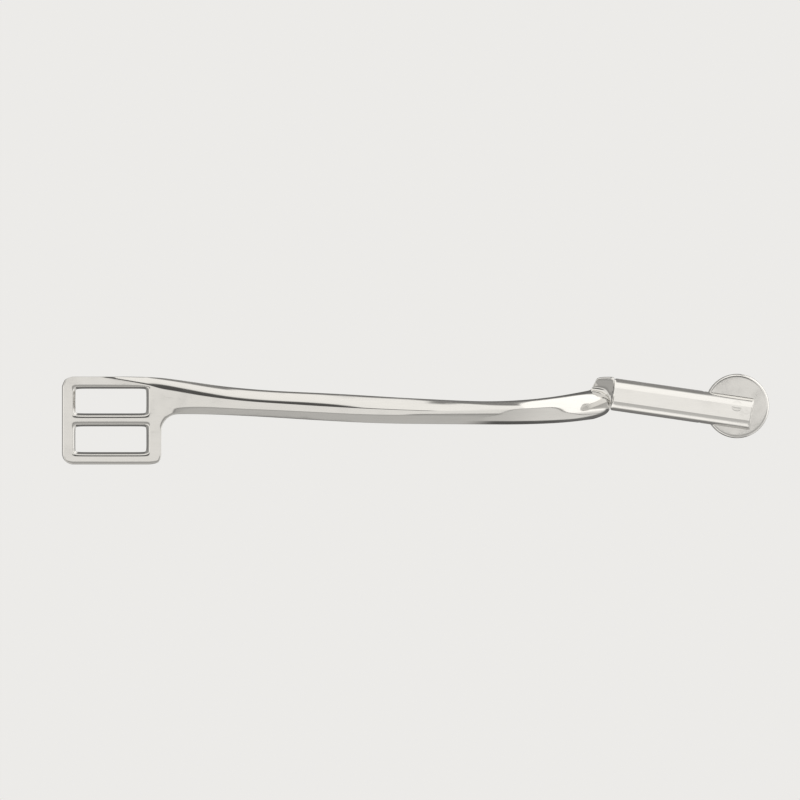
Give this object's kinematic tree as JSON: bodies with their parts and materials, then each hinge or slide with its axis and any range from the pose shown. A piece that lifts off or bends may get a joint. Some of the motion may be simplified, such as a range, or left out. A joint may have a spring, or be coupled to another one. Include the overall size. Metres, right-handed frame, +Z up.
{
  "type": "riding spur",
  "caption": "Polished steel riding spur: a U-shaped heel band with slotted strap plates at its ends and a short sloping forked neck that holds a smooth turning disc.",
  "frame": {"origin": "under the middle of the whole spur, level with the lower edges of its strap plates", "axes": "+Z up as the spur is worn, +X backwards along the neck, so the strap plates are at -X and the disc at +X; -Y is the wearer's left"},
  "size_m": [0.136, 0.0764, 0.0174],
  "materials": {
    "band_steel": "cast stainless steel, polished bright, faintly wavy from hand polishing",
    "neck_steel": "stainless steel, polished bright",
    "pin_steel": "stainless steel rivet, dressed flush and polished with the neck",
    "disc_steel": "stainless steel, satin polished faces and a rounded rim"
  },
  "bodies": {
    "spur_frame": {"heel_band": "band_steel", "neck": "neck_steel", "disc_pin": "pin_steel"},
    "disc_wheel": {"disc": "disc_steel"}
  },
  "joints": [
    {"name": "disc_spin", "type": "hinge", "parent": "spur_frame", "child": "disc_wheel", "pos_m": [0.0618, 0, 0.01124], "axis": [0, 1, 0], "continuous": true}
  ]
}
